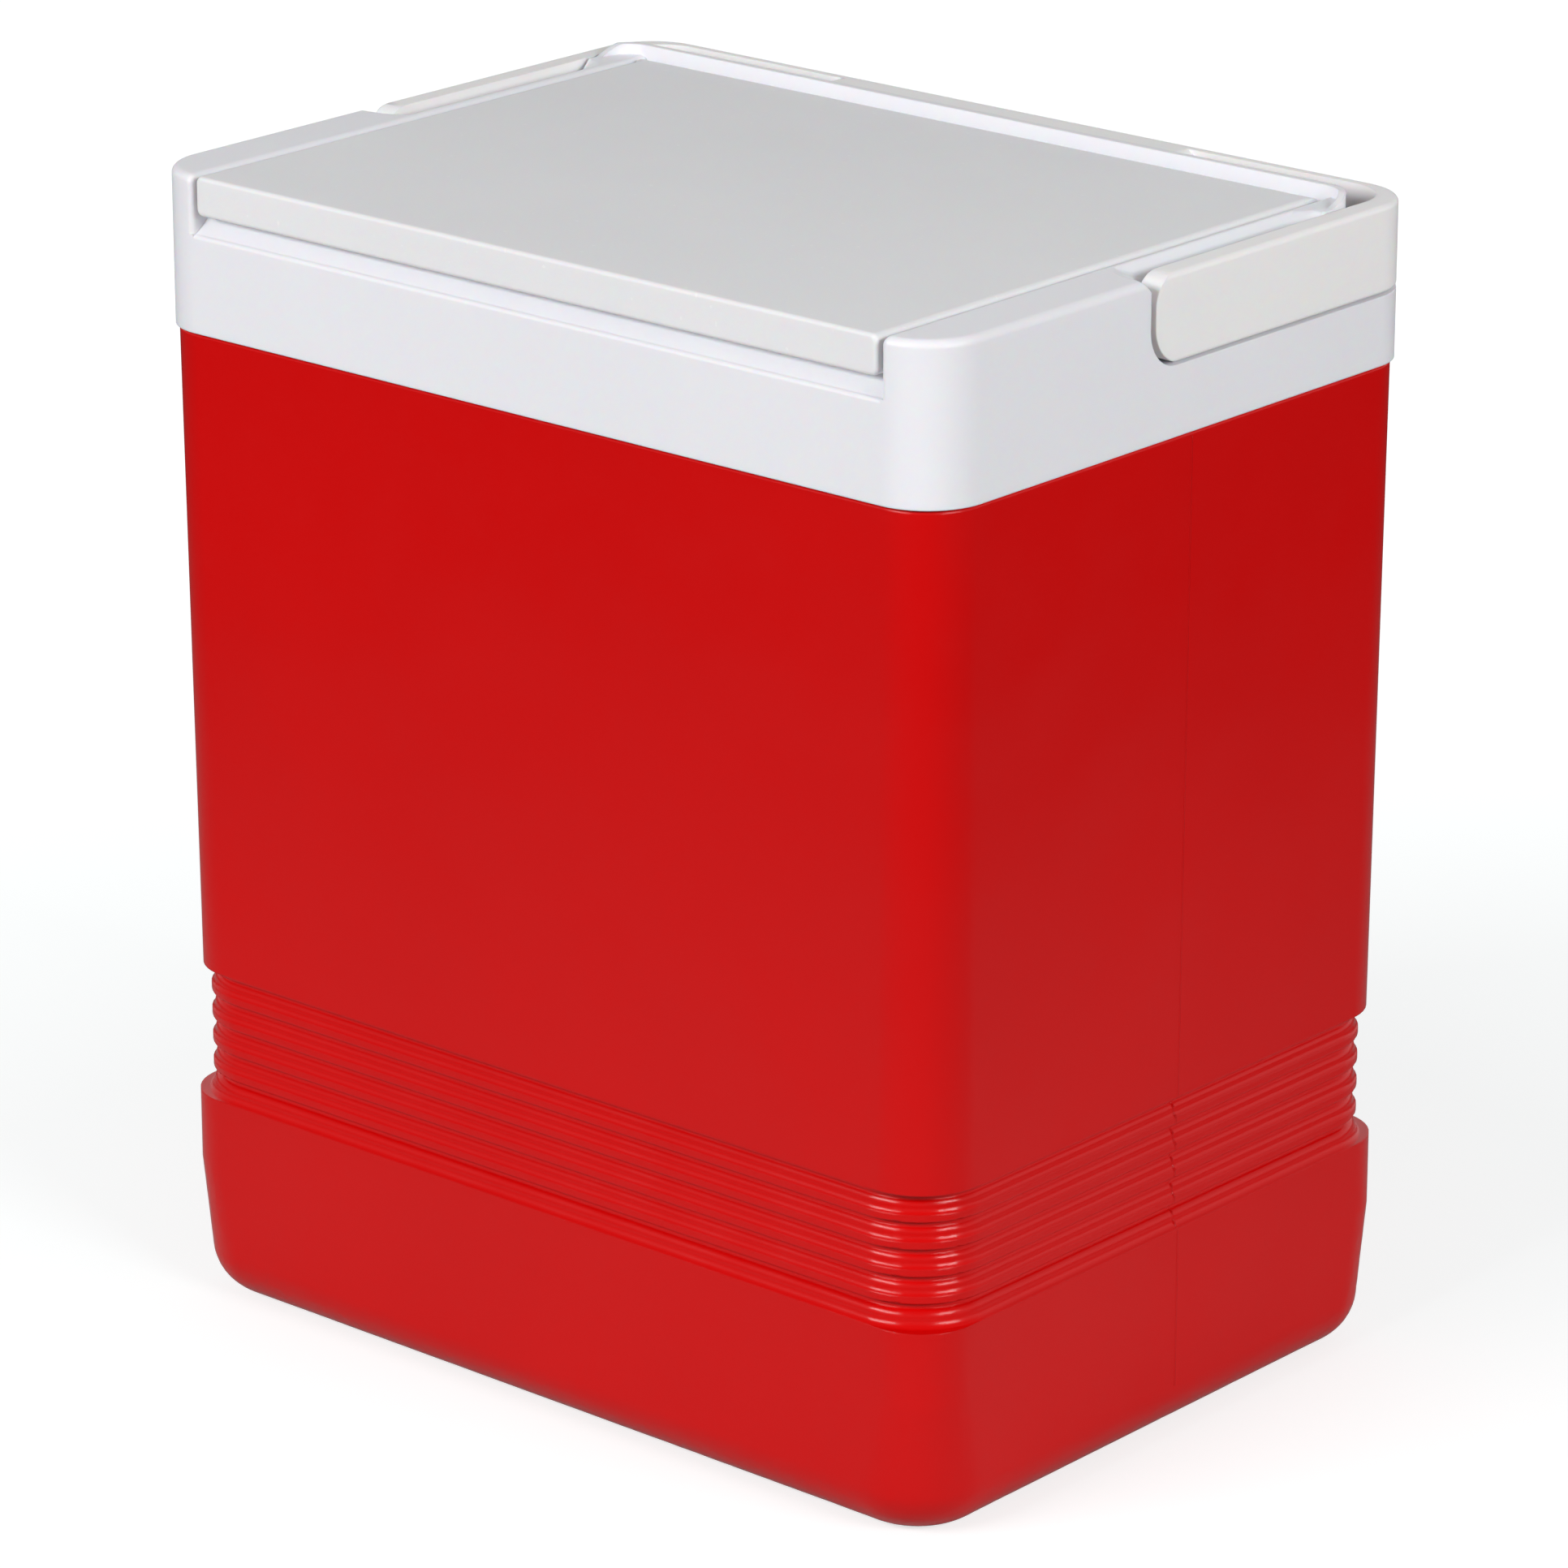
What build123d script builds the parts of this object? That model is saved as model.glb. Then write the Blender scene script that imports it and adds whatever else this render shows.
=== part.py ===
from build123d import *
import os

# Hard picnic cooler with a hinged lid and a swinging bail handle.
# All lengths are in millimetres and all angles in degrees.
# +X is the user's right, +Y is the rear and +Z is up. The origin is on the ground under the middle.

# Overall size
WIDTH = 317.0
DEPTH = 230.0
TOP_Z = 373.0
COLLAR_BOTTOM_Z = 323.0
CORNER_RADIUS = 20.0

# Clearances, and how far one solid runs into or past another where they are joined or cut
RUNNING_GAP = 0.05
PRESS_GAP = 0.01
OVERLAP = 1.0
PIN_END_GAP = 0.3

# Outer shell: insets and corner radii are measured from the collar's outline
SHELL_SKIN = 2.2
SHELL_FLOOR = 4.4
UPPER_INSET_TOP = 1.2
UPPER_INSET_LOW = 1.9
UPPER_LOW_CORNER = 23.0
LOWER_INSET = 1.0
BASE_CORNER = 30.0
BASE_CORNER_BLEND_Z = 46.0
BOTTOM_RADIUS = 16.5
SHOULDER_RADIUS = 1.0
SHADOW_GAP = 0.6
NECK_INSET = 3.1
NECK_HEIGHT = 8.0
BASE_BAND = 32.0
BASE_RECESS_CORNER = 16.0
BASE_RECESS_DEPTH = 2.0

# Ribs round the outer shell. Each groove starts under a small overhang, is upright at its deepest,
# and then sweeps out to the upright crest below it.
RIB_TOP_Z = 111.3
RIB_PITCH = 8.68
RIB_GROOVES = 5
RIB_CORNER = 27.0
GROOVE_INSET = 4.6
CREST_INSET = 2.5
OVERHANG_RADIUS = 0.9
OVERHANG_DROP = 0.5
GROOVE_UPRIGHT = 1.3
SWEEP_HEIGHT = 4.2
LAST_SWEEP_HEIGHT = 5.6
CUTTER_REACH = 12.0
RIB_LOW_Z = (
    RIB_TOP_Z - (RIB_GROOVES - 1) * RIB_PITCH - OVERHANG_DROP - GROOVE_UPRIGHT - LAST_SWEEP_HEIGHT
)

# Tub and its mouth
MOUTH_HALF_X = 131.0
MOUTH_FRONT_Y = -98.0
MOUTH_REAR_Y = 84.0
MOUTH_CORNER = 22.0
MOUTH_CUT_LOW_Z = 340.0
TUB_SKIN = 2.4
TUB_DRAFT = 0.8
TUB_FLOOR_Z = 26.0
TUB_BOTTOM_RADIUS = 12.0
FLANGE_THICKNESS = 2.2
FLANGE_HALF_X = 143.5
FLANGE_FRONT_Y = -103.7
FLANGE_REAR_Y = 91.7
FLANGE_CORNER = 6.0

# Foam in the body
FOAM_TOP_GAP = 0.4
FOAM_NECK_OVERLAP = 20.0

# Collar
COLLAR_SKIN = 2.5
COLLAR_WALL = 2.9
COLLAR_TOP_SKIN = 3.0
COLLAR_EDGE = 2.6
POST_EDGE = 1.8
DECK_TOP_Z = 359.7
LID_POCKET_HALF_X = 138.0
RECESS_FLOOR_Z = 354.3
RECESS_BACK_Y = -106.7
RECESS_EDGE = 1.3
RIM_FRONT_Y = 92.2
RIM_THICKNESS = 2.2
RIM_RISE = 3.5
RIM_HALF_X = 149.5
RIM_CORNER = 11.0
RIM_END_Y = 80.0
RIM_END_RUN = 9.0
RIM_END_DIP = 0.2

# Handle and its pockets
ARM_HEIGHT = 27.4
ARM_THICKNESS = 7.5
ARM_FRONT_Y = -15.7
ARM_TOP_CORNER = 9.0
ARM_LOW_CORNER = 12.5
BAND_THICKNESS = 4.0
GRIP_HALF_X = 74.0
GRIP_THICKNESS = 15.0
GRIP_CORNER = 6.5
GRIP_SKIN = 3.0
GRIP_TOP_EDGE = 5.0
HANDLE_TOP_EDGE = 1.8
HANDLE_LOW_EDGE = 1.4
POCKET_FLOOR_Z = 344.9
POCKET_FRONT_Y = -18.0
POCKET_CORNER = 12.5
SCOOP_WIDTH = 9.5
SCOOP_SPILL = 5.0
SCOOP_FRONT_Y = -20.0
SCOOP_LEAN = 5.0
SCOOP_REAR_Y = 78.0
SCOOP_CORNER = 4.0

# Pivots
HANDLE_PIVOT_Y = ARM_FRONT_Y + ARM_HEIGHT / 2
HANDLE_PIVOT_Z = TOP_Z - ARM_HEIGHT / 2
PIVOT_RADIUS = 4.0
PIVOT_HEAD_RADIUS = 6.0
PIVOT_HEAD_THICKNESS = 2.0
PIVOT_HEAD_GAP = 0.1
PIVOT_END_X = 156.4
PIVOT_BORE_LENGTH = 5.0
HEAD_ROOM_HALF_Y = 8.0
HEAD_ROOM_RISE = 6.2
LID_BARREL_RADIUS = 4.0
LID_HINGE_Y = RIM_FRONT_Y - LID_BARREL_RADIUS - 1.0
LID_HINGE_Z = TOP_Z - LID_BARREL_RADIUS
HINGE_PIN_RADIUS = 2.0
HINGE_PIN_INNER_X = 126.0
HINGE_PIN_OUTER_X = 146.0

# The cored space inside each side border, which stays clear of the scoop and of the hinge pins
BORDER_CORE_SETBACK = 4.5
HINGE_LAND = 6.0

# Lid
LID_HALF_X = 136.4
LID_BOTTOM_Z = 360.5
LID_SKIN = 2.5
LID_CORNER = 2.2
LID_FRONT_EDGE = 1.3
LIP_THICKNESS = 6.0
BARREL_CLEARANCE = 0.5
PLUG_GAP = 4.2
PLUG_BOTTOM_Z = 349.0
PLUG_SKIN = 2.2
PLUG_CORNER = 18.0
PLUG_EDGE = 3.0


def rounded_prism(half_x, front_y, rear_y, radius, low_z, high_z):
    outline = RectangleRounded(2 * half_x, rear_y - front_y, radius)
    outline = Pos(0, (front_y + rear_y) / 2, low_z) * outline
    return extrude(outline, high_z - low_z)


def inset_prism(inset, low_z, high_z, corner=CORNER_RADIUS):
    """An upright prism that follows the collar's outline at an inset."""
    return rounded_prism(
        WIDTH / 2 - inset, inset - DEPTH / 2, DEPTH / 2 - inset, corner - inset, low_z, high_z
    )


def block(low_x, high_x, low_y, high_y, low_z, high_z):
    centre = Pos((low_x + high_x) / 2, (low_y + high_y) / 2, (low_z + high_z) / 2)
    return centre * Box(high_x - low_x, high_y - low_y, high_z - low_z)


def both_sides(solid):
    return solid + mirror(solid, about=Plane.YZ)


def side_face(edges):
    """A flat face in the plane x = 0, from closed edges drawn with (y, z) points."""
    return Plane.YZ * Face(Wire(edges))


def side_rod(radius, low_x, high_x, y, z):
    """A round bar along X."""
    centre = Pos((low_x + high_x) / 2, y, z)
    return centre * Rot(0, 90, 0) * Cylinder(radius, high_x - low_x)


# Outer shell ------------------------------------------------------------------------------------


def at(inset, z):
    """A point on the front wall's section, as (y, z)."""
    return (inset - DEPTH / 2, z)


def s_curve(high_inset, high_z, low_inset, low_z):
    """Two equal arcs that leave one upright and join another lower down."""
    across = high_inset - low_inset
    drop = high_z - low_z
    radius = (across**2 + drop**2) / (4 * across)
    middle = at((high_inset + low_inset) / 2, (high_z + low_z) / 2)
    return [
        RadiusArc(at(high_inset, high_z), middle, -radius),
        RadiusArc(middle, at(low_inset, low_z), radius),
    ]


def groove(index):
    """The section of one groove, from the foot of the face above it to the face below it."""
    line_z = RIB_TOP_Z - index * RIB_PITCH
    is_last = index == RIB_GROOVES - 1
    above = UPPER_INSET_LOW if index == 0 else CREST_INSET
    below = LOWER_INSET if is_last else CREST_INSET
    top_z = line_z - OVERHANG_DROP
    sweep_z = top_z - GROOVE_UPRIGHT
    end_z = sweep_z - (LAST_SWEEP_HEIGHT if is_last else SWEEP_HEIGHT)
    foot = at(above, line_z + OVERHANG_RADIUS)
    overhang = at(above + OVERHANG_RADIUS, line_z)
    edges = [
        RadiusArc(foot, overhang, -OVERHANG_RADIUS),
        Line(overhang, at(GROOVE_INSET, top_z)),
        Line(at(GROOVE_INSET, top_z), at(GROOVE_INSET, sweep_z)),
        *s_curve(GROOVE_INSET, sweep_z, below, end_z),
    ]
    if not is_last:
        edges.append(Line(at(below, end_z), at(below, line_z - RIB_PITCH + OVERHANG_RADIUS)))
    return edges


def rib_outline():
    """The section of the rib cutter on the front wall, in the plane x = 0."""
    start_z = RIB_TOP_Z + OVERHANG_RADIUS
    edges = [Line(at(-CUTTER_REACH, start_z), at(UPPER_INSET_LOW, start_z))]
    for index in range(RIB_GROOVES):
        edges += groove(index)
    edges.append(Line(at(LOWER_INSET, RIB_LOW_Z), at(-CUTTER_REACH, RIB_LOW_Z)))
    edges.append(Line(at(-CUTTER_REACH, RIB_LOW_Z), at(-CUTTER_REACH, start_z)))
    return side_face(edges)


def rib_path():
    """The ribs' outline at ground level, starting at the middle of the front."""
    half_x = WIDTH / 2
    half_y = DEPTH / 2
    flat_x = half_x - RIB_CORNER
    flat_y = half_y - RIB_CORNER
    return Wire(
        [
            Line((0, -half_y), (flat_x, -half_y)),
            RadiusArc((flat_x, -half_y), (half_x, -flat_y), -RIB_CORNER),
            Line((half_x, -flat_y), (half_x, flat_y)),
            RadiusArc((half_x, flat_y), (flat_x, half_y), -RIB_CORNER),
            Line((flat_x, half_y), (-flat_x, half_y)),
            RadiusArc((-flat_x, half_y), (-half_x, flat_y), -RIB_CORNER),
            Line((-half_x, flat_y), (-half_x, -flat_y)),
            RadiusArc((-half_x, -flat_y), (-flat_x, -half_y), -RIB_CORNER),
            Line((-flat_x, -half_y), (0, -half_y)),
        ]
    )


def rib_band(skin):
    """A plain band that keeps the hollow one skin inside the deepest part of the grooves."""
    low_z = RIB_LOW_Z - skin
    high_z = RIB_TOP_Z + skin
    around = inset_prism(-CUTTER_REACH, low_z, high_z)
    return around - inset_prism(GROOVE_INSET + skin, low_z, high_z, RIB_CORNER)


def bottom_face(solid):
    return solid.faces().sort_by(Axis.Z)[0]


def top_face(solid):
    return solid.faces().sort_by(Axis.Z)[-1]


def plain_form(skin, floor_z, high_z):
    """The body without its ribs, or the hollow one skin inside it."""
    middle_z = (RIB_TOP_Z + RIB_LOW_Z) / 2
    low_inset = LOWER_INSET + skin
    base = loft(
        [
            bottom_face(inset_prism(low_inset, floor_z, middle_z, BASE_CORNER)),
            bottom_face(inset_prism(low_inset, BASE_CORNER_BLEND_Z, middle_z)),
        ]
    )
    base = fillet(bottom_face(base).edges(), BOTTOM_RADIUS - skin)
    lower = base + inset_prism(low_inset, BASE_CORNER_BLEND_Z, middle_z)
    upper = loft(
        [
            bottom_face(inset_prism(UPPER_INSET_LOW + skin, middle_z, high_z, UPPER_LOW_CORNER)),
            top_face(inset_prism(UPPER_INSET_TOP + skin, middle_z, high_z)),
        ]
    )
    return lower, upper


def hollow_form(skin, floor_z, high_z):
    """The space inside a shell of one skin thickness."""
    lower, upper = plain_form(skin, floor_z, high_z)
    return lower + upper - rib_band(skin)


def outer_shell():
    shoulder_z = COLLAR_BOTTOM_Z - SHADOW_GAP
    neck_low_z = shoulder_z - SHELL_SKIN
    lower, upper = plain_form(0, 0, shoulder_z)
    upper = fillet(top_face(upper).edges(), SHOULDER_RADIUS)
    shell = lower + upper - sweep(rib_outline(), path=rib_path())
    shell += inset_prism(NECK_INSET, neck_low_z, COLLAR_BOTTOM_Z + NECK_HEIGHT)
    shell -= hollow_form(SHELL_SKIN, SHELL_FLOOR, neck_low_z)
    shell -= inset_prism(NECK_INSET + SHELL_SKIN, neck_low_z - OVERLAP, TOP_Z)
    recess_y = DEPTH / 2 - BASE_BAND
    return shell - rounded_prism(
        WIDTH / 2 - BASE_BAND, -recess_y, recess_y, BASE_RECESS_CORNER, -OVERLAP, BASE_RECESS_DEPTH
    )


# Tub and foam -----------------------------------------------------------------------------------


def tub_form(skin, high_z):
    outline = RectangleRounded(
        2 * (MOUTH_HALF_X + skin), MOUTH_REAR_Y - MOUTH_FRONT_Y + 2 * skin, MOUTH_CORNER + skin
    )
    outline = Pos(0, (MOUTH_FRONT_Y + MOUTH_REAR_Y) / 2, high_z) * outline
    form = extrude(outline, TUB_FLOOR_Z - skin - high_z, taper=TUB_DRAFT)
    return fillet(bottom_face(form).edges(), TUB_BOTTOM_RADIUS + skin)


def inner_liner():
    flange_top = DECK_TOP_Z - COLLAR_SKIN - RUNNING_GAP
    flange_low = flange_top - FLANGE_THICKNESS
    flange = rounded_prism(
        FLANGE_HALF_X, FLANGE_FRONT_Y, FLANGE_REAR_Y, FLANGE_CORNER, flange_low, flange_top
    )
    return tub_form(TUB_SKIN, flange_top) + flange - tub_form(0, flange_top)


def body_foam():
    skin = SHELL_SKIN + RUNNING_GAP
    shoulder_z = COLLAR_BOTTOM_Z - SHADOW_GAP - skin
    foam_top = POCKET_FLOOR_Z - COLLAR_SKIN - FOAM_TOP_GAP
    foam = hollow_form(skin, SHELL_FLOOR + RUNNING_GAP, shoulder_z)
    foam += inset_prism(NECK_INSET + skin, shoulder_z - FOAM_NECK_OVERLAP, foam_top)
    flange_top = DECK_TOP_Z - COLLAR_SKIN - RUNNING_GAP
    return foam - tub_form(TUB_SKIN + RUNNING_GAP, flange_top)


# Collar -----------------------------------------------------------------------------------------


def pocket_side_profile():
    """Side view of the handle pocket's front end, in the plane x = 0."""
    far = DEPTH
    high = 2 * TOP_Z
    low = POCKET_FLOOR_Z
    front = POCKET_FRONT_Y
    edges = [
        Line((far, low), (front + POCKET_CORNER, low)),
        RadiusArc((front + POCKET_CORNER, low), (front, low + POCKET_CORNER), POCKET_CORNER),
        Line((front, low + POCKET_CORNER), (front, high)),
        Line((front, high), (far, high)),
        Line((far, high), (far, low)),
    ]
    return side_face(edges)


def handle_pockets():
    """The space round the sides and rear that the handle lies in."""
    slab = extrude(pocket_side_profile(), WIDTH, both=True)
    rear_y = RIM_FRONT_Y + RIM_THICKNESS
    core = rounded_prism(RIM_HALF_X, -DEPTH, rear_y, RIM_CORNER, 0, 2 * TOP_Z)
    return slab - core


def border_valleys():
    """The sloped scoop that thins the top of each side border beside the arm."""
    inner_x = RIM_HALF_X - SCOOP_WIDTH
    outer_x = WIDTH / 2 + SCOOP_WIDTH + SCOOP_SPILL
    outline = make_face(
        Polyline(
            (inner_x, SCOOP_FRONT_Y),
            (outer_x, SCOOP_FRONT_Y - SCOOP_LEAN),
            (outer_x, SCOOP_REAR_Y),
            (inner_x, SCOOP_REAR_Y),
            close=True,
        )
    )
    outline = fillet(outline.vertices().group_by(Axis.X)[0], SCOOP_CORNER)
    cut = extrude(Pos(0, 0, TOP_Z + OVERLAP) * outline, -SCOOP_WIDTH, taper=45)
    return both_sides(cut)


def rear_rim():
    """The raised wall behind the lid, with its ends turned forward and faded down."""
    rear_y = RIM_FRONT_Y + RIM_THICKNESS
    high_z = TOP_Z + RIM_RISE
    low_z = TOP_Z - OVERLAP
    outer = rounded_prism(RIM_HALF_X, -DEPTH, rear_y, RIM_CORNER, low_z, high_z)
    inner = rounded_prism(
        RIM_HALF_X - RIM_THICKNESS, -DEPTH, RIM_FRONT_Y, RIM_CORNER - RIM_THICKNESS, low_z, high_z
    )
    rim = outer - inner
    keep = Polyline(
        (RIM_END_Y, low_z),
        (RIM_END_Y, TOP_Z - RIM_END_DIP),
        (RIM_END_Y + RIM_END_RUN, high_z),
        (rear_y + OVERLAP, high_z),
        (rear_y + OVERLAP, low_z),
        close=True,
    )
    return rim & extrude(Plane.YZ * make_face(keep), WIDTH, both=True)


def collar_hollows():
    """Everything that is cored out from below, leaving one skin of plastic."""
    wall_x = WIDTH / 2 - COLLAR_WALL
    wall_y = DEPTH / 2 - COLLAR_WALL
    core_x = RIM_HALF_X - COLLAR_SKIN
    behind_pocket = POCKET_FRONT_Y - COLLAR_SKIN
    low_z = COLLAR_BOTTOM_Z - OVERLAP
    pocket_z = POCKET_FLOOR_Z - COLLAR_SKIN
    recess_z = RECESS_FLOOR_Z - COLLAR_SKIN
    deck_z = DECK_TOP_Z - COLLAR_SKIN
    border_z = TOP_Z - COLLAR_TOP_SKIN
    border_inner = LID_POCKET_HALF_X + COLLAR_SKIN
    border_outer = core_x - BORDER_CORE_SETBACK
    border_rear = RIM_END_Y - HINGE_LAND
    hollow = inset_prism(COLLAR_WALL, low_z, pocket_z)
    front = inset_prism(COLLAR_WALL, pocket_z - OVERLAP, recess_z)
    hollow += front & block(-wall_x, wall_x, -wall_y, behind_pocket, 0, TOP_Z)
    middle = rounded_prism(
        core_x, -DEPTH, RIM_FRONT_Y, RIM_CORNER - COLLAR_SKIN, pocket_z - OVERLAP, deck_z
    )
    hollow += middle & block(-core_x, core_x, behind_pocket - OVERLAP, RIM_FRONT_Y, 0, TOP_Z)
    deck_front = RECESS_BACK_Y + COLLAR_SKIN
    hollow += block(-border_inner, border_inner, deck_front, behind_pocket, recess_z - OVERLAP, deck_z)
    post = inset_prism(COLLAR_WALL, recess_z - OVERLAP, border_z)
    post = post & block(border_inner, wall_x, -wall_y, behind_pocket, 0, TOP_Z)
    border = block(
        border_inner, border_outer, behind_pocket - OVERLAP, border_rear, deck_z - OVERLAP, border_z
    )
    head_room = block(
        border_inner,
        core_x,
        HANDLE_PIVOT_Y - HEAD_ROOM_HALF_Y,
        HANDLE_PIVOT_Y + HEAD_ROOM_HALF_Y,
        deck_z - OVERLAP,
        HANDLE_PIVOT_Z + HEAD_ROOM_RISE,
    )
    return hollow + both_sides(post + border + head_room)


def recess_slope():
    """The sloped face that runs from the deck's front edge down to the foot of the finger recess."""
    foot_y = -DEPTH / 2 + RECESS_EDGE
    section = Polyline(
        (foot_y, RECESS_FLOOR_Z), (RECESS_BACK_Y, DECK_TOP_Z), (RECESS_BACK_Y, RECESS_FLOOR_Z), close=True
    )
    return extrude(Plane.YZ * make_face(section), LID_POCKET_HALF_X, both=True)


def recess_front_edge():
    """What the rounding takes off the front edge of the finger recess, under the lid's lip."""
    half_x = LID_POCKET_HALF_X
    front_y = -DEPTH / 2
    centre_y = front_y + RECESS_EDGE
    centre_z = RECESS_FLOOR_Z - RECESS_EDGE
    corner = block(-half_x, half_x, front_y - OVERLAP, centre_y, centre_z, RECESS_FLOOR_Z + OVERLAP)
    return corner - side_rod(RECESS_EDGE, -half_x, half_x, centre_y, centre_z)


def side_border():
    """The right-hand border beside the lid, with its corner post and rounded top edges."""
    border = inset_prism(0, RECESS_FLOOR_Z, TOP_Z)
    border = border & block(LID_POCKET_HALF_X, WIDTH, -DEPTH, DEPTH, 0, 2 * TOP_Z)
    inner_uprights = border.edges().filter_by(Axis.Z).group_by(Axis.X)[0]
    border = fillet(inner_uprights, POST_EDGE)
    return fillet(top_face(border).edges(), COLLAR_EDGE)


def collar():
    half_x = LID_POCKET_HALF_X
    rear_y = RIM_FRONT_Y + RIM_THICKNESS
    body = inset_prism(0, COLLAR_BOTTOM_Z, RECESS_FLOOR_Z)
    body += both_sides(side_border())
    body += block(-half_x, half_x, RECESS_BACK_Y, rear_y, RECESS_FLOOR_Z, DECK_TOP_Z)
    body += recess_slope()
    body += block(-half_x, half_x, RIM_FRONT_Y, rear_y, DECK_TOP_Z, TOP_Z)
    body -= handle_pockets()
    body -= border_valleys()
    body += rear_rim()
    body -= collar_hollows()
    body -= recess_front_edge()
    body -= rounded_prism(
        MOUTH_HALF_X, MOUTH_FRONT_Y, MOUTH_REAR_Y, MOUTH_CORNER, MOUTH_CUT_LOW_Z, DECK_TOP_Z + OVERLAP
    )
    pin_bore = side_rod(
        HINGE_PIN_RADIUS + PRESS_GAP,
        LID_POCKET_HALF_X - OVERLAP,
        HINGE_PIN_OUTER_X + PIN_END_GAP,
        LID_HINGE_Y,
        LID_HINGE_Z,
    )
    pivot_bore = side_rod(
        PIVOT_RADIUS + PRESS_GAP,
        RIM_HALF_X - PIVOT_BORE_LENGTH,
        RIM_HALF_X + OVERLAP,
        HANDLE_PIVOT_Y,
        HANDLE_PIVOT_Z,
    )
    return body - both_sides(pin_bore) - both_sides(pivot_bore)


# Lid --------------------------------------------------------------------------------------------


def lid_top():
    top = block(-LID_HALF_X, LID_HALF_X, -DEPTH / 2, LID_HINGE_Y, LID_BOTTOM_Z, TOP_Z)
    top = fillet(top.edges().filter_by(Axis.Y), LID_CORNER)
    top = fillet(top.faces().sort_by(Axis.Y)[0].edges(), LID_FRONT_EDGE)
    top += side_rod(LID_BARREL_RADIUS, -LID_HALF_X, LID_HALF_X, LID_HINGE_Y, LID_HINGE_Z)
    top -= block(
        -LID_HALF_X + LID_SKIN,
        LID_HALF_X - LID_SKIN,
        -DEPTH / 2 + LIP_THICKNESS,
        LID_HINGE_Y - LID_BARREL_RADIUS - BARREL_CLEARANCE,
        LID_BOTTOM_Z - OVERLAP,
        TOP_Z - LID_SKIN,
    )
    bore = side_rod(
        HINGE_PIN_RADIUS + RUNNING_GAP,
        HINGE_PIN_INNER_X - PIN_END_GAP,
        LID_HALF_X + OVERLAP,
        LID_HINGE_Y,
        LID_HINGE_Z,
    )
    return top - both_sides(bore)


def plug_form(skin, low_z, high_z):
    return rounded_prism(
        MOUTH_HALF_X - PLUG_GAP - skin,
        MOUTH_FRONT_Y + PLUG_GAP + skin,
        MOUTH_REAR_Y - PLUG_GAP - skin,
        PLUG_CORNER - skin,
        low_z,
        high_z,
    )


def lid_tray_plate(gap, low_z, high_z):
    half_x = LID_HALF_X - LID_SKIN - gap
    front_y = -DEPTH / 2 + LIP_THICKNESS + gap
    rear_y = LID_HINGE_Y - LID_BARREL_RADIUS - BARREL_CLEARANCE - gap
    return block(-half_x, half_x, front_y, rear_y, low_z, high_z)


def lid_liner():
    plate_top = LID_BOTTOM_Z + PLUG_SKIN
    plug = plug_form(0, PLUG_BOTTOM_Z, plate_top)
    plug = fillet(bottom_face(plug).edges(), PLUG_EDGE)
    tray = lid_tray_plate(RUNNING_GAP, LID_BOTTOM_Z, plate_top) + plug
    return tray - plug_form(PLUG_SKIN, PLUG_BOTTOM_Z + PLUG_SKIN, TOP_Z)


def lid_foam():
    plate_top = LID_BOTTOM_Z + PLUG_SKIN + RUNNING_GAP
    foam = lid_tray_plate(2 * RUNNING_GAP, plate_top, TOP_Z - LID_SKIN - RUNNING_GAP)
    low_z = PLUG_BOTTOM_Z + PLUG_SKIN + RUNNING_GAP
    return foam + plug_form(PLUG_SKIN + RUNNING_GAP, low_z, plate_top)


# Handle -----------------------------------------------------------------------------------------


def arm_side_profile():
    """Side view of the handle, in the plane x = 0, from the arm's rounded end to past the rear."""
    low = TOP_Z - ARM_HEIGHT
    front = ARM_FRONT_Y
    far = DEPTH
    edges = [
        Line((far, low), (front + ARM_LOW_CORNER, low)),
        RadiusArc((front + ARM_LOW_CORNER, low), (front, low + ARM_LOW_CORNER), ARM_LOW_CORNER),
        Line((front, low + ARM_LOW_CORNER), (front, TOP_Z - ARM_TOP_CORNER)),
        RadiusArc((front, TOP_Z - ARM_TOP_CORNER), (front + ARM_TOP_CORNER, TOP_Z), ARM_TOP_CORNER),
        Line((front + ARM_TOP_CORNER, TOP_Z), (far, TOP_Z)),
        Line((far, TOP_Z), (far, low)),
    ]
    return side_face(edges)


def grip(skin, low_z, high_z):
    """The thick middle of the bail. Its rear runs past the bail and is trimmed off."""
    return rounded_prism(
        GRIP_HALF_X - skin,
        DEPTH / 2 - GRIP_THICKNESS + skin,
        DEPTH / 2 + GRIP_THICKNESS - skin,
        GRIP_CORNER - skin,
        low_z,
        high_z,
    )


def handle():
    low = TOP_Z - ARM_HEIGHT
    outer = inset_prism(0, low, TOP_Z)
    outer = fillet(top_face(outer).edges(), HANDLE_TOP_EDGE)
    outer = fillet(bottom_face(outer).edges(), HANDLE_LOW_EDGE)
    inner_rear_y = DEPTH / 2 - BAND_THICKNESS
    inner = rounded_prism(
        WIDTH / 2 - ARM_THICKNESS,
        -DEPTH,
        inner_rear_y,
        CORNER_RADIUS - BAND_THICKNESS,
        low - OVERLAP,
        TOP_Z + OVERLAP,
    )
    solid_grip = grip(0, low, TOP_Z)
    solid_grip = fillet(top_face(solid_grip).edges(), GRIP_TOP_EDGE)
    core = grip(GRIP_SKIN, low - OVERLAP, TOP_Z - GRIP_SKIN) & block(
        -WIDTH, WIDTH, 0, DEPTH / 2 - GRIP_SKIN, 0, 2 * TOP_Z
    )
    bail = outer - inner + (solid_grip & outer) - core
    bail = bail & extrude(arm_side_profile(), WIDTH, both=True)
    bore = side_rod(
        PIVOT_RADIUS + RUNNING_GAP, RIM_HALF_X, PIVOT_END_X + PIN_END_GAP, HANDLE_PIVOT_Y, HANDLE_PIVOT_Z
    )
    return bail - both_sides(bore)


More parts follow.
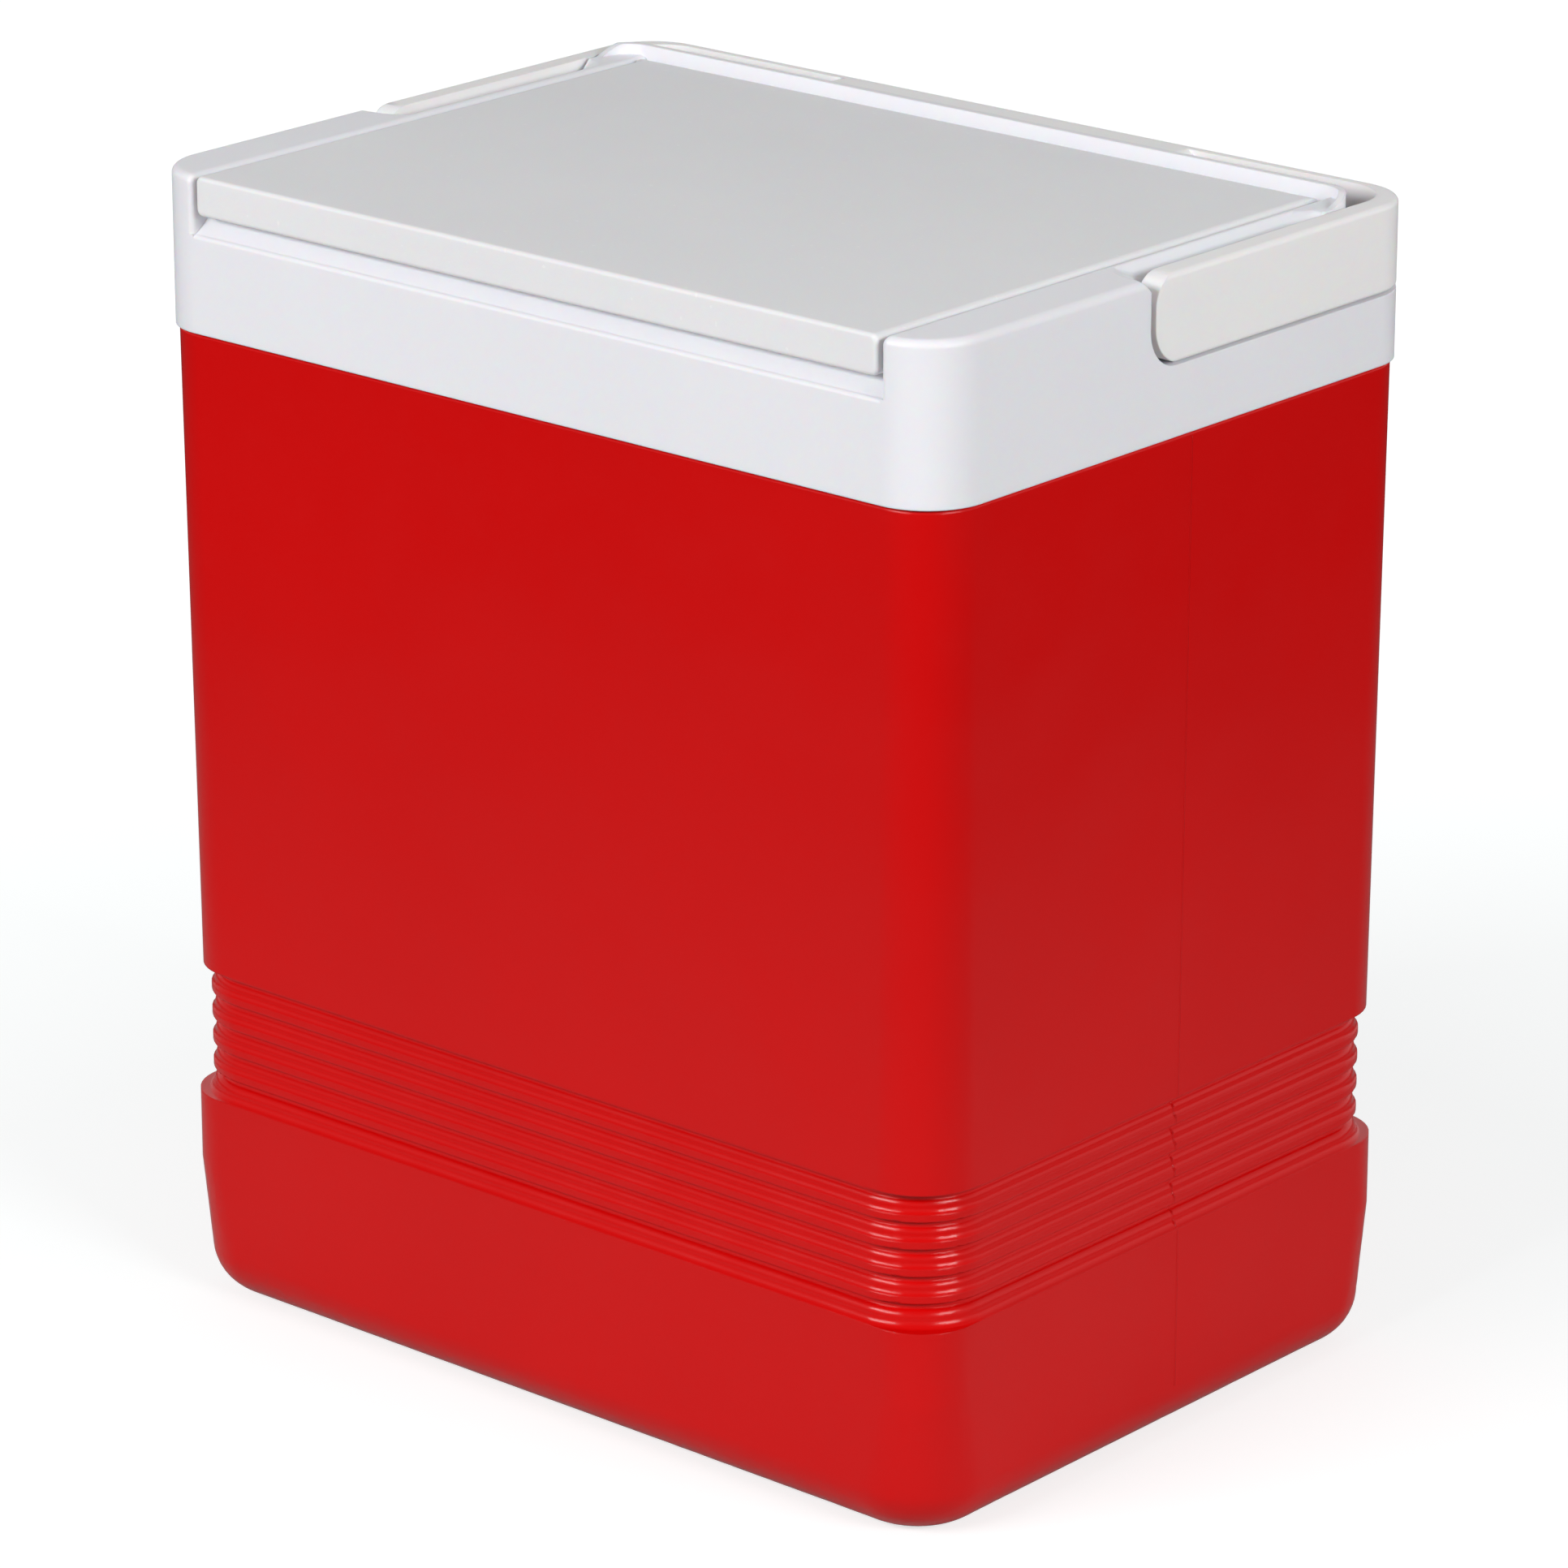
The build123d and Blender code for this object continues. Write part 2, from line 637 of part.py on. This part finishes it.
def handle_pivots():
    wall_x = RIM_HALF_X - COLLAR_SKIN
    head_end_x = wall_x - PIVOT_HEAD_GAP
    head_start_x = head_end_x - PIVOT_HEAD_THICKNESS
    shaft = side_rod(PIVOT_RADIUS, wall_x - OVERLAP, PIVOT_END_X, HANDLE_PIVOT_Y, HANDLE_PIVOT_Z)
    head = side_rod(PIVOT_HEAD_RADIUS, head_start_x, head_end_x, HANDLE_PIVOT_Y, HANDLE_PIVOT_Z)
    return both_sides(shaft + head)


def hinge_pins():
    pin = side_rod(HINGE_PIN_RADIUS, HINGE_PIN_INNER_X, HINGE_PIN_OUTER_X, LID_HINGE_Y, LID_HINGE_Z)
    return both_sides(pin)


PIECES = {
    "outer_shell": outer_shell,
    "body_foam": body_foam,
    "inner_liner": inner_liner,
    "collar": collar,
    "lid_top": lid_top,
    "lid_foam": lid_foam,
    "lid_liner": lid_liner,
    "handle": handle,
    "handle_pivots": handle_pivots,
    "hinge_pins": hinge_pins,
}

os.makedirs("parts", exist_ok=True)
for name, make in PIECES.items():
    export_step(make(), f"parts/{name}.step")
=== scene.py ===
import math

import bpy
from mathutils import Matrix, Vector
from mathutils.bvhtree import BVHTree


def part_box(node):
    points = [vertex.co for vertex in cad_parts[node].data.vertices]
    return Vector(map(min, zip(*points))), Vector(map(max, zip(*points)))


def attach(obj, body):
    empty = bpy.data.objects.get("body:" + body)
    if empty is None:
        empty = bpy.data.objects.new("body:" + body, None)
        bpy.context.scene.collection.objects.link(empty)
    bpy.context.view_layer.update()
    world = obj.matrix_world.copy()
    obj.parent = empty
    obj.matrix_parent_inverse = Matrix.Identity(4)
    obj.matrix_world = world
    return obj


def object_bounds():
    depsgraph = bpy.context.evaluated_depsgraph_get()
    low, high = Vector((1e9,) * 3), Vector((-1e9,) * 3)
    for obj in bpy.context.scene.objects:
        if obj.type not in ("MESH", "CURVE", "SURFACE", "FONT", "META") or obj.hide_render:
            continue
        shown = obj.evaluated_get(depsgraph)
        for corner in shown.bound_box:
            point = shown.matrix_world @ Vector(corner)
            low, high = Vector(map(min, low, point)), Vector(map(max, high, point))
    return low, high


# Looks of a hard picnic cooler: red ribbed body, white collar and lid, warm white bail handle.
# Everything is in metres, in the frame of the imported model.

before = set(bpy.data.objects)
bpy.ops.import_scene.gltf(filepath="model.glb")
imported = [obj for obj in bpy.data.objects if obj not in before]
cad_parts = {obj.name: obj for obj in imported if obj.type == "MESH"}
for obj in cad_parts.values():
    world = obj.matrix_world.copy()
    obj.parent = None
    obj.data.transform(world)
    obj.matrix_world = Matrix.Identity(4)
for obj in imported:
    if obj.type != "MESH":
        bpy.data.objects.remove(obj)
cad_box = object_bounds()

MM = 0.001

# Colours are linear. White plastics differ slightly in warmth.
RED = (0.64, 0.0012, 0.0012)
RED_DEEP = (0.605, 0.0008, 0.0009)
COLLAR_WHITE = (0.865, 0.865, 0.905)
COLLAR_SHADE = (0.845, 0.845, 0.885)
LID_WHITE = (0.845, 0.845, 0.86)
LID_SHADE = (0.82, 0.82, 0.84)
HANDLE_WHITE = (0.925, 0.915, 0.915)
HANDLE_SHADE = (0.91, 0.895, 0.89)
LINER_WHITE = (0.82, 0.82, 0.82)
LINER_SHADE = (0.77, 0.77, 0.775)
FOAM_CREAM = (0.78, 0.66, 0.40)
FOAM_SHADE = (0.66, 0.52, 0.28)
STEEL = (0.55, 0.56, 0.58)
STEEL_SHADE = (0.38, 0.39, 0.41)
DUST_WHITE = (0.93, 0.93, 0.93)
PURE_WHITE = (1.0, 1.0, 1.0)

# The band of a noise texture's values that carries most of its change
NOISE_LOW = 0.3
NOISE_HIGH = 0.7

# Moulded plastic. Scales are in cycles per metre.
DRIFT_SCALE = 7.0
RUB_SCALE = 260.0
RUB_NOISE_LOW = 0.35
RUB_LEAST = 0.1
RUB_ROUGHNESS = 0.15
RUB_KEEPS = 0.85
RUB_PALES = 0.14
DUST_SCALE = 520.0
DUST_LOW = 0.80
DUST_HIGH = 0.84
MOTTLE_SCALE = 45.0
MOTTLE_ROUGHNESS = 0.035
WAVE_SCALE = 16.0
GLOW_DEPTH = 2.5 * MM
EDGE_RADIUS = 0.7 * MM
EDGE_SAMPLES = 4
EDGE_FLAT = 0.995
EDGE_SHARP = 0.90

# Rigid foam
FOAM_DRIFT_SCALE = 30.0
CELL_SCALE = 900.0
CELL_PIT = 0.1
CELL_WALL = 0.6
CELL_DEPTH = 0.25 * MM
FOAM_ROUGHNESS = (0.82, 0.95)

# Turned steel
TURN_SCALE = 400.0
TURN_STRETCH = (12.0, 0.5, 0.5)
TURN_DEPTH = 0.01 * MM
TURN_STRENGTH = 0.6
STEEL_ROUGHNESS = (0.26, 0.40)

# Shading of the CAD's facets
WELD_DISTANCE = 0.002 * MM
CREASE_DEGREES = 32

# The mould parting line down each side of the body, and the torn nicks where it crosses the ribs
SEAM_Y = 4.0 * MM
SEAM_LOW_Z = 17.0 * MM
SEAM_TOP_GAP = 2.0 * MM
SEAM_STEP = 0.4 * MM
SEAM_HALF_WIDTH = 0.4 * MM
SEAM_HEIGHT = 0.13 * MM
SEAM_WAVE = 7.0 * MM
SEAM_WAVE_SHARE = 0.25
SEAM_ROOT = 0.5 * MM
RIB_TOP_Z = 111.3 * MM
RIB_PITCH = 8.68 * MM
RIB_BAND = 43.0 * MM
NICK_HEIGHT = 0.75 * MM
NICK_LENGTH = 0.55 * MM
NICK_DROPS = (2.4 * MM, 5.6 * MM)

# The paper floor: what the camera sees, and the dimmer bounce that lights the cooler
FLOOR_SIDE = 40.0
FLOOR_SEEN = (0.40, 0.44, 0.44)
FLOOR_ROUGHNESS = 0.9
PAPER_SCALE = 500.0
PAPER_DEPTH = 0.02 * MM
PAPER_STRENGTH = 0.3
BOUNCE_NEAR = (0.50, 0.50, 0.50)
BOUNCE_FAR = (0.10, 0.10, 0.10)
BOUNCE_START = 0.25
BOUNCE_END = 1.0
GLOW_NEAR = 0.70
GLOW_FAR = 0.90
GLOW_START = 0.3
GLOW_END = 0.9

# The surroundings as the cooler sees them: brighter behind it and dimmer overhead
FRONT_LIGHT = 0.38
BACK_LIGHT = 0.78
FRONT_Y = -0.1
BACK_Y = 0.6
OVERHEAD_SHARE = 0.30
WALL_RISE = 0.30
OVERHEAD_RISE = 0.70

# Camera
CAMERA_PLACE = (1.41238, -1.61797, 0.92401)
CAMERA_TILT = 70.842
CAMERA_TURN = 41.086
CAMERA_LENS = 166.6
CAMERA_SENSOR = 36.0


# Materials --------------------------------------------------------------------------------------


class Recipe:
    """A material built from nodes. Its textures read the part's own place at rest, in metres."""

    def __init__(self, name):
        self.material = bpy.data.materials.new(name)
        self.material.use_nodes = True
        self.tree = self.material.node_tree
        self.tree.nodes.clear()
        self.place = self.add("ShaderNodeTexCoord").outputs["Object"]

    def add(self, kind, **settings):
        node = self.tree.nodes.new(kind)
        for name, value in settings.items():
            setattr(node, name, value)
        return node

    def link(self, source, target):
        self.tree.links.new(source, target)

    def fill(self, socket, value):
        """Puts a number, a colour or another node's output into a socket."""
        if isinstance(value, bpy.types.NodeSocket):
            self.link(value, socket)
        elif isinstance(value, tuple):
            socket.default_value = (*value, 1.0)
        else:
            socket.default_value = value

    def noise(self, scale, detail=2.0, stretch=(1.0, 1.0, 1.0)):
        mapping = self.add("ShaderNodeMapping")
        mapping.inputs["Scale"].default_value = stretch
        self.link(self.place, mapping.inputs["Vector"])
        noise = self.add("ShaderNodeTexNoise")
        noise.inputs["Scale"].default_value = scale
        noise.inputs["Detail"].default_value = detail
        self.link(mapping.outputs["Vector"], noise.inputs["Vector"])
        return noise.outputs["Fac"]

    def remap(self, value, low, high, new_low=0.0, new_high=1.0):
        ramp = self.add("ShaderNodeMapRange", clamp=True)
        self.link(value, ramp.inputs["Value"])
        ramp.inputs["From Min"].default_value = low
        ramp.inputs["From Max"].default_value = high
        ramp.inputs["To Min"].default_value = new_low
        ramp.inputs["To Max"].default_value = new_high
        return ramp.outputs["Result"]

    def math(self, operation, first, second):
        node = self.add("ShaderNodeMath", operation=operation)
        self.fill(node.inputs[0], first)
        self.fill(node.inputs[1], second)
        return node.outputs["Value"]

    def mix(self, factor, first, second):
        node = self.add("ShaderNodeMix", data_type="RGBA")
        self.fill(node.inputs["Factor"], factor)
        self.fill(node.inputs["A"], first)
        self.fill(node.inputs["B"], second)
        return node.outputs["Result"]

    def bump(self, height, depth, strength=1.0, below=None):
        node = self.add("ShaderNodeBump")
        node.inputs["Strength"].default_value = strength
        node.inputs["Distance"].default_value = depth
        self.link(height, node.inputs["Height"])
        if below is not None:
            self.link(below, node.inputs["Normal"])
        return node.outputs["Normal"]

    def edges(self, radius):
        """How sharp the edge is, 0 on flat ground and 1 on an edge, and the softened normal."""
        bevel = self.add("ShaderNodeBevel", samples=EDGE_SAMPLES)
        bevel.inputs["Radius"].default_value = radius
        geometry = self.add("ShaderNodeNewGeometry")
        dot = self.add("ShaderNodeVectorMath", operation="DOT_PRODUCT")
        self.link(bevel.outputs["Normal"], dot.inputs[0])
        self.link(geometry.outputs["Normal"], dot.inputs[1])
        return self.remap(dot.outputs["Value"], EDGE_FLAT, EDGE_SHARP), bevel.outputs["Normal"]

    def finish(self, colour, roughness, normal, **extra):
        surface = self.add("ShaderNodeBsdfPrincipled")
        self.fill(surface.inputs["Base Color"], colour)
        self.fill(surface.inputs["Roughness"], roughness)
        self.link(normal, surface.inputs["Normal"])
        for name, value in extra.items():
            self.fill(surface.inputs[name.replace("_", " ")], value)
        output = self.add("ShaderNodeOutputMaterial")
        self.link(surface.outputs["BSDF"], output.inputs["Surface"])
        return self.material


def moulded_plastic(
    name, light, dark, roughness, shine, grain_scale, grain_depth, wave_depth,
    specks=0.0, glow=0.0, wear=0.35,
):
    """Satin plastic: slow tone drift, fine mould grain, faint waviness, dust specks and rubbed edges."""
    recipe = Recipe(name)
    drift = recipe.remap(recipe.noise(DRIFT_SCALE, 3.0), NOISE_LOW, NOISE_HIGH)
    colour = recipe.mix(drift, dark, light)
    edge, soft_normal = recipe.edges(EDGE_RADIUS)
    rubbing = recipe.noise(RUB_SCALE, 3.0)
    rubbing = recipe.remap(rubbing, RUB_NOISE_LOW, NOISE_HIGH, RUB_LEAST * wear, wear)
    rub = recipe.math("MULTIPLY", edge, rubbing)
    paler = tuple(min(1.0, RUB_KEEPS * part + RUB_PALES) for part in light)
    colour = recipe.mix(rub, colour, paler)
    if specks > 0:
        dust = recipe.remap(recipe.noise(DUST_SCALE, 0.0), DUST_LOW, DUST_HIGH, 0.0, specks)
        colour = recipe.mix(dust, colour, DUST_WHITE)
    smoothest = roughness - MOTTLE_ROUGHNESS
    roughest = roughness + MOTTLE_ROUGHNESS
    mottle = recipe.remap(recipe.noise(MOTTLE_SCALE, 4.0), NOISE_LOW, NOISE_HIGH, smoothest, roughest)
    rough = recipe.math("ADD", mottle, recipe.math("MULTIPLY", rub, RUB_ROUGHNESS))
    waves = recipe.bump(recipe.noise(WAVE_SCALE, 1.0), wave_depth, below=soft_normal)
    grain = recipe.bump(recipe.noise(grain_scale), grain_depth, below=waves)
    return recipe.finish(
        colour, rough, grain, Specular_IOR_Level=shine, Subsurface_Weight=glow, Subsurface_Scale=GLOW_DEPTH
    )


def shell_red():
    return moulded_plastic(
        "red_shell_plastic",
        light=RED,
        dark=RED_DEEP,
        roughness=0.20,
        shine=0.32,
        grain_scale=1500.0,
        grain_depth=0.012 * MM,
        wave_depth=1.1 * MM,
        wear=0.04,
    )


def collar_white():
    return moulded_plastic(
        "cool_white_plastic",
        light=COLLAR_WHITE,
        dark=COLLAR_SHADE,
        roughness=0.40,
        shine=0.4,
        grain_scale=1700.0,
        grain_depth=0.018 * MM,
        wave_depth=0.35 * MM,
        glow=0.35,
    )


def lid_white():
    return moulded_plastic(
        "textured_white_plastic",
        light=LID_WHITE,
        dark=LID_SHADE,
        roughness=0.46,
        shine=0.4,
        grain_scale=1100.0,
        grain_depth=0.045 * MM,
        wave_depth=0.5 * MM,
        specks=0.5,
        glow=0.35,
    )


def handle_white():
    return moulded_plastic(
        "warm_white_plastic",
        light=HANDLE_WHITE,
        dark=HANDLE_SHADE,
        roughness=0.38,
        shine=0.4,
        grain_scale=1600.0,
        grain_depth=0.016 * MM,
        wave_depth=0.25 * MM,
        glow=0.35,
    )


def liner_white():
    return moulded_plastic(
        "smooth_liner_plastic",
        light=LINER_WHITE,
        dark=LINER_SHADE,
        roughness=0.33,
        shine=0.4,
        grain_scale=1400.0,
        grain_depth=0.012 * MM,
        wave_depth=0.6 * MM,
    )


def insulating_foam():
    """Rigid foam: cream, dull and full of small open cells, with painted shade in the cells' pits."""
    recipe = Recipe("insulating_foam")
    cells = recipe.add("ShaderNodeTexVoronoi")
    cells.inputs["Scale"].default_value = CELL_SCALE
    recipe.link(recipe.place, cells.inputs["Vector"])
    drift = recipe.remap(recipe.noise(FOAM_DRIFT_SCALE, 4.0), NOISE_LOW, NOISE_HIGH)
    colour = recipe.mix(drift, FOAM_SHADE, FOAM_CREAM)
    # Painted shade: the pits of the cells are painted towards the darker foam colour, where the hollows
    # would fall into shade.
    painted_pit_shade = recipe.remap(cells.outputs["Distance"], CELL_PIT, CELL_WALL)
    colour = recipe.mix(painted_pit_shade, FOAM_SHADE, colour)
    normal = recipe.bump(cells.outputs["Distance"], CELL_DEPTH)
    return recipe.finish(colour, recipe.remap(drift, 0.0, 1.0, *FOAM_ROUGHNESS), normal)


def turned_steel():
    """Plain steel rod with fine lines round it."""
    recipe = Recipe("turned_steel")
    lines = recipe.noise(TURN_SCALE, 3.0, stretch=TURN_STRETCH)
    colour = recipe.mix(recipe.remap(lines, NOISE_LOW, NOISE_HIGH), STEEL_SHADE, STEEL)
    normal = recipe.bump(lines, TURN_DEPTH, TURN_STRENGTH)
    roughness = recipe.remap(lines, NOISE_LOW, NOISE_HIGH, *STEEL_ROUGHNESS)
    return recipe.finish(colour, roughness, normal, Metallic=1.0)


# CAD nodes --------------------------------------------------------------------------------------


def smooth_shading(node):
    """Smooth curved walls and crisp edges, without touching the node's own vertices."""
    for polygon in node.data.polygons:
        polygon.use_smooth = True
    weld = node.modifiers.new("weld", "WELD")
    weld.merge_threshold = WELD_DISTANCE
    split = node.modifiers.new("crease", "EDGE_SPLIT")
    split.split_angle = math.radians(CREASE_DEGREES)
    even = node.modifiers.new("even", "WEIGHTED_NORMAL")
    even.keep_sharp = True


def dress(material, *names):
    for name in names:
        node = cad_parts[name]
        node.data.materials.clear()
        node.data.materials.append(material)
        smooth_shading(node)


def add_mesh(name, vertices, faces, material):
    mesh = bpy.data.meshes.new(name)
    mesh.from_pydata(vertices, [], faces)
    mesh.materials.append(material)
    piece = bpy.data.objects.new(name, mesh)
    bpy.context.scene.collection.objects.link(piece)
    return piece


# The parting line -------------------------------------------------------------------------------


def shell_side(tree, side, z):
    """The distance of the shell's side wall from the middle plane at a height."""
    start = Vector((side, SEAM_Y, z))
    hit = tree.ray_cast(start, Vector((-side, 0, 0)))[0]
    return abs(hit.x)


def seam_height(z):
    """The line stands a little proud, and leaves small torn nicks on the slopes of the ribs."""
    height = SEAM_HEIGHT * (1.0 + SEAM_WAVE_SHARE * math.sin(z / SEAM_WAVE))
    below_top = RIB_TOP_Z - z
    if not 0 < below_top < RIB_BAND:
        return height
    drop = below_top % RIB_PITCH
    nearest = min(abs(drop - nick) for nick in NICK_DROPS)
    return height + NICK_HEIGHT * math.exp(-((nearest / NICK_LENGTH) ** 2))


def seam_section(proud):
    """The corners of the line's section, as (across, out) from the wall."""
    half = SEAM_HALF_WIDTH
    return [(-half, -SEAM_ROOT), (-half, 0.0), (0.0, proud), (half, 0.0), (half, -SEAM_ROOT)]


def tube_faces(corners, count):
    """The faces of a closed tube of sections, each with the same number of corners."""
    faces = []
    for low in range(0, corners * count, corners):
        high = low + corners
        for corner in range(corners):
            following = (corner + 1) % corners
            faces.append((low + corner, low + following, high + following, high + corner))
    last = corners * count
    faces.append(tuple(reversed(range(corners))))
    faces.append(tuple(range(last, last + corners)))
    return faces


def parting_line(name, side, tree, material):
    high_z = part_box("collar")[0].z - SEAM_TOP_GAP
    count = int((high_z - SEAM_LOW_Z) / SEAM_STEP)
    vertices = []
    for index in range(count + 1):
        z = SEAM_LOW_Z + index * SEAM_STEP
        x = shell_side(tree, side, z)
        section = seam_section(seam_height(z))
        vertices += [(side * (x + out), SEAM_Y + across, z) for across, out in section]
    piece = add_mesh(name, vertices, tube_faces(len(section), count), material)
    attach(piece, "body")


# Studio -----------------------------------------------------------------------------------------


def white_paper():
    """Paper that the camera sees lifted towards white, while the cooler is lit by its plain bounce."""
    recipe = Recipe("white_paper")
    seen = recipe.add("ShaderNodeLightPath").outputs["Is Camera Ray"]
    length = recipe.add("ShaderNodeVectorMath", operation="LENGTH")
    recipe.link(recipe.place, length.inputs[0])
    distance = length.outputs["Value"]
    glow = recipe.remap(distance, GLOW_START, GLOW_END, GLOW_NEAR, GLOW_FAR)
    spread = recipe.remap(distance, BOUNCE_START, BOUNCE_END)
    colour = recipe.mix(seen, recipe.mix(spread, BOUNCE_NEAR, BOUNCE_FAR), FLOOR_SEEN)
    return recipe.finish(
        colour,
        FLOOR_ROUGHNESS,
        recipe.bump(recipe.noise(PAPER_SCALE), PAPER_DEPTH, PAPER_STRENGTH),
        Specular_IOR_Level=0.0,
        Emission_Color=PURE_WHITE,
        Emission_Strength=recipe.math("MULTIPLY", glow, seen),
    )


def studio_floor():
    half = FLOOR_SIDE / 2
    corners = [(-half, -half, 0), (half, -half, 0), (half, half, 0), (-half, half, 0)]
    add_mesh("studio_floor", corners, [(0, 1, 2, 3)], white_paper())


def studio_world():
    """White surroundings: the camera sees pure white, and the cooler sees a lit backdrop behind it."""
    world = bpy.data.worlds.new("studio")
    bpy.context.scene.world = world
    world.use_nodes = True
    nodes = world.node_tree.nodes
    links = world.node_tree.links
    nodes.clear()

    def ramp(source, low, high, new_low, new_high):
        node = nodes.new("ShaderNodeMapRange")
        settings = {"From Min": low, "From Max": high, "To Min": new_low, "To Max": new_high}
        for name, value in settings.items():
            node.inputs[name].default_value = value
        links.new(source, node.inputs["Value"])
        return node

    place = nodes.new("ShaderNodeTexCoord")
    split = nodes.new("ShaderNodeSeparateXYZ")
    links.new(place.outputs["Generated"], split.inputs["Vector"])
    depth = ramp(split.outputs["Y"], FRONT_Y, BACK_Y, FRONT_LIGHT, BACK_LIGHT)
    rise = ramp(split.outputs["Z"], WALL_RISE, OVERHEAD_RISE, 1.0, OVERHEAD_SHARE)
    lit = nodes.new("ShaderNodeMath")
    lit.operation = "MULTIPLY"
    links.new(depth.outputs["Result"], lit.inputs[0])
    links.new(rise.outputs["Result"], lit.inputs[1])
    seen = nodes.new("ShaderNodeLightPath").outputs["Is Camera Ray"]
    amount = ramp(seen, 0.0, 1.0, 0.0, 1.0)
    links.new(lit.outputs["Value"], amount.inputs["To Min"])
    background = nodes.new("ShaderNodeBackground")
    background.inputs["Color"].default_value = (*PURE_WHITE, 1.0)
    links.new(amount.outputs["Result"], background.inputs["Strength"])
    output = nodes.new("ShaderNodeOutputWorld")
    links.new(background.outputs["Background"], output.inputs["Surface"])


def softbox(name, azimuth, elevation, distance, width, height, watts):
    """A wide soft light. Azimuth 0 is in front of the cooler and 90 is on its right."""
    light = bpy.data.lights.new(name, "AREA")
    light.shape = "RECTANGLE"
    light.size = width
    light.size_y = height
    light.energy = watts
    holder = bpy.data.objects.new(name, light)
    bpy.context.scene.collection.objects.link(holder)
    turn = math.radians(azimuth)
    rise = math.radians(elevation)
    middle = (cad_box[0] + cad_box[1]) / 2
    away = Vector((math.sin(turn) * math.cos(rise), -math.cos(turn) * math.cos(rise), math.sin(rise)))
    holder.location = middle + distance * away
    holder.rotation_euler = away.to_track_quat("Z", "Y").to_euler()


def camera():
    data = bpy.data.cameras.new("camera")
    data.sensor_width = CAMERA_SENSOR
    data.lens = CAMERA_LENS
    holder = bpy.data.objects.new("camera", data)
    holder.location = CAMERA_PLACE
    holder.rotation_euler = (math.radians(CAMERA_TILT), 0.0, math.radians(CAMERA_TURN))
    bpy.context.scene.collection.objects.link(holder)
    bpy.context.scene.camera = holder


# Build ------------------------------------------------------------------------------------------

red = shell_red()
dress(red, "outer_shell")
dress(collar_white(), "collar")
dress(lid_white(), "lid_top")
dress(handle_white(), "handle", "handle_pivots")
dress(liner_white(), "inner_liner", "lid_liner")
dress(insulating_foam(), "body_foam", "lid_foam")
dress(turned_steel(), "hinge_pins")

shell_tree = BVHTree.FromObject(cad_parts["outer_shell"], bpy.context.evaluated_depsgraph_get())
parting_line("parting_line_right", 1, shell_tree, red)
parting_line("parting_line_left", -1, shell_tree, red)

studio_floor()
studio_world()
softbox("key", azimuth=-10, elevation=27, distance=2.4, width=1.5, height=0.6, watts=39)
softbox("fill", azimuth=82, elevation=24, distance=2.6, width=1.2, height=0.6, watts=34)
camera()
bpy.context.scene.view_settings.view_transform = "Standard"
